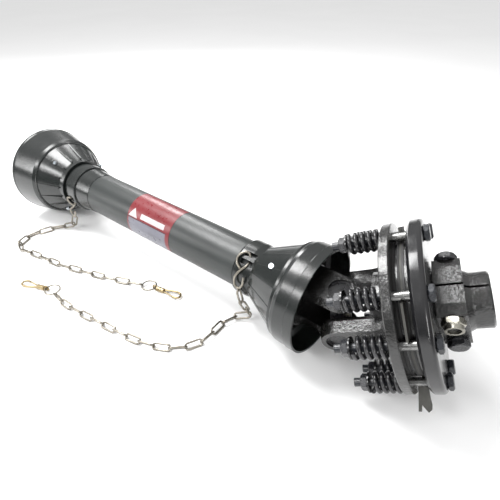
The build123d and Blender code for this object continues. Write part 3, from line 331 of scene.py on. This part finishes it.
def spline_line(name, points):
    """The points that a smooth open spline through a route gives."""
    curve = bpy.data.curves.new(name, "CURVE")
    curve.dimensions = "3D"
    spline = curve.splines.new("NURBS")
    spline.points.add(len(points) - 1)
    for control, point in zip(spline.points, points):
        control.co = (*point, 1.0)
    spline.order_u = 3
    spline.use_endpoint_u = True
    spline.resolution_u = 16
    holder = bpy.data.objects.new(name, curve)
    mesh = bpy.data.meshes.new_from_object(holder)
    line = [vertex.co.copy() for vertex in mesh.vertices]
    bpy.data.objects.remove(holder)
    bpy.data.curves.remove(curve)
    bpy.data.meshes.remove(mesh)
    return line


def at_length(samples, wanted):
    """The point of a line at a length along it."""
    gone = 0.0
    for a, b in zip(samples, samples[1:]):
        piece = (b - a).length
        if gone + piece >= wanted and piece > 0:
            return a.lerp(b, (wanted - gone) / piece)
        gone += piece
    return samples[-1].copy()


def route_length(samples):
    return sum((b - a).length for a, b in zip(samples, samples[1:]))


def oval_link(verts, faces, centre, along, across, length, width, wire):
    """One long link of round wire, added to lists of vertices and faces."""
    half_width = (width - wire) / 2
    straight = length / 2 - width / 2
    outline = []
    turns = 9
    for end in (1, -1):
        for n in range(turns + 1):
            angle = -pi / 2 + pi * n / turns
            x = end * (straight + half_width * cos(angle))
            y = end * half_width * sin(angle)
            outline.append((x, y, end * cos(angle), end * sin(angle)))
    normal = along.cross(across)
    first = len(verts)
    sides = 10
    for x, y, nx, ny in outline:
        out = along * nx + across * ny
        at = centre + along * x + across * y
        for k in range(sides):
            angle = 2 * pi * k / sides
            verts.append(at + (out * cos(angle) + normal * sin(angle)) * (wire / 2))
    rings = len(outline)
    for i in range(rings):
        j = (i + 1) % rings
        for k in range(sides):
            m = (k + 1) % sides
            faces.append(
                (first + i * sides + k, first + j * sides + k, first + j * sides + m, first + i * sides + m)
            )


def chain(name, points, node, body):
    """A welded chain whose links follow a route, alternately rolled a quarter turn."""
    route = [mm(*p) for p in points]
    samples = spline_line(name + "_route", route)
    total = route_length(samples)
    count = round(total / link_pitch)
    pitch = total / count
    verts = []
    faces = []
    for n in range(count):
        a = at_length(samples, max(0.0, n * pitch))
        b = at_length(samples, min(total, (n + 1) * pitch))
        along = (b - a).normalized()
        flat = Vector((0, 0, 1)).cross(along)
        flat = flat.normalized() if flat.length > 0.2 else Vector((1, 0, 0))
        roll = link_rolls[n % 2]
        upright = along.cross(flat)
        across = flat * cos(roll) + upright * sin(roll)
        centre = (a + b) / 2
        if abs(along.z) < 0.3 and centre.z < link_width / 2 + 0.002:
            centre.z = abs(sin(roll)) * (link_width - link_wire) / 2 + link_wire / 2 + floor_clear
        oval_link(verts, faces, centre, along, across, pitch + 1.7 * link_wire, link_width, link_wire)
    mesh = bpy.data.meshes.new(name)
    mesh.from_pydata(verts, [], faces)
    mesh.polygons.foreach_set("use_smooth", [True] * len(mesh.polygons))
    made = bpy.data.objects.new(name, mesh)
    bpy.context.collection.objects.link(made)
    mesh.materials.append(zinc)
    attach(made, body)
    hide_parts(node)
    return made


lying = 5.8
left_chain_route = [
    (121.5, -41.0, 32.6),
    (120, -41.0, 22.0),
    (112, -41.8, 11.5),
    (100, -45.5, lying + 0.3),
    (87, -56.0, lying),
    (77, -74.0, lying),
    (71, -96.0, lying),
    (70, -117.0, lying),
    (77, -136.0, lying),
    (96, -144.0, lying),
    (120, -138.0, lying),
    (152, -131.0, lying),
    (194, -125.5, lying),
    (238, -111.0, lying),
    (287, -96.0, lying),
    (320, -81.5, lying),
    (343, -71.4, lying),
]
right_chain_route = [
    (524.5, -45.0, 72.6),
    (526, -43.0, 56.0),
    (527.5, -36.0, 38.0),
    (529, -27.5, 22.0),
    (527, -20.5, 10.5),
    (516, -22.5, lying + 0.3),
    (505, -36.5, lying),
    (500, -54.0, lying),
    (503, -77.0, lying),
    (504, -99.0, lying),
    (491, -124.5, lying),
    (468, -141.0, lying),
    (437, -153.5, lying),
    (398, -160.0, lying),
    (352, -166.5, lying),
    (305, -173.0, lying),
    (272, -175.0, lying),
    (256, -171.0, lying),
]
chain(
    "left_chain_links", left_chain_route, "left_chain", "left_guard",
)
chain(
    "right_chain_links", right_chain_route, "right_chain", "right_guard",
)

# ---------------------------------------------------------------- camera, lights and floor

camera_data = bpy.data.cameras.new("camera")
camera = bpy.data.objects.new("camera", camera_data)
bpy.context.collection.objects.link(camera)
camera.location = (0.44369, -0.39977, 0.45661)
camera.rotation_euler = (radians(90 - 35.9), 0, radians(38.64))
camera_data.sensor_width = 36.0
camera_data.lens = 31.08
camera_data.clip_start = 0.01
bpy.context.scene.camera = camera
bpy.context.scene.view_settings.view_transform = "Standard"


def softbox(name, place, target, width, height, power, colour=(1.0, 1.0, 1.0)):
    data = bpy.data.lights.new(name, "AREA")
    data.shape = "RECTANGLE"
    data.size = width
    data.size_y = height
    data.energy = power
    data.color = colour
    lamp = bpy.data.objects.new(name, data)
    lamp.location = place
    lamp.rotation_euler = (Vector(target) - Vector(place)).to_track_quat("-Z", "Y").to_euler()
    bpy.context.collection.objects.link(lamp)


softbox("key", (-0.55, -0.15, 1.3), (0.0, 0.0, 0.05), 0.55, 0.55, 22.0)
softbox("back", (-0.85, 0.70, 0.95), (0.0, 0.0, 0.1), 0.30, 0.70, 11.0)
softbox("front", (-0.25, -1.15, 0.95), (0.1, 0.0, 0.1), 0.60, 0.22, 8.0)
softbox("left_front", (-1.05, -1.0, 0.60), (-0.2, 0.0, 0.1), 0.25, 0.6, 6.0)
softbox("right_front", (1.1, -0.9, 0.5), (0.35, 0.0, 0.12), 0.12, 0.7, 5.0)

# A pale sky, bright overhead and dimmer towards the sides.
world = bpy.data.worlds.new("world")
bpy.context.scene.world = world
world.use_nodes = True
sky = world.node_tree
way = sky.nodes.new("ShaderNodeTexCoord")
parts = sky.nodes.new("ShaderNodeSeparateXYZ")
level = sky.nodes.new("ShaderNodeMapRange")
level.inputs["From Min"].default_value = 0.0
level.inputs["From Max"].default_value = 0.9
level.inputs["To Min"].default_value = 0.22
level.inputs["To Max"].default_value = 1.0
sky.links.new(way.outputs["Generated"], parts.inputs["Vector"])
sky.links.new(parts.outputs["Z"], level.inputs["Value"])
sky.links.new(level.outputs["Result"], sky.nodes["Background"].inputs["Color"])
sky.nodes["Background"].inputs["Strength"].default_value = 1.0

bpy.ops.mesh.primitive_plane_add(size=12.0, location=(0, 0, 0))
floor = bpy.context.object
floor.name = "floor"
paper = Shader("paper")
paper.set("Base Color", paper.ramp(paper.noise(3.0, 2.0), (0.93, 0.93, 0.93), (0.95, 0.95, 0.95)))
paper.set("Roughness", 0.9)
floor.data.materials.append(paper.material)
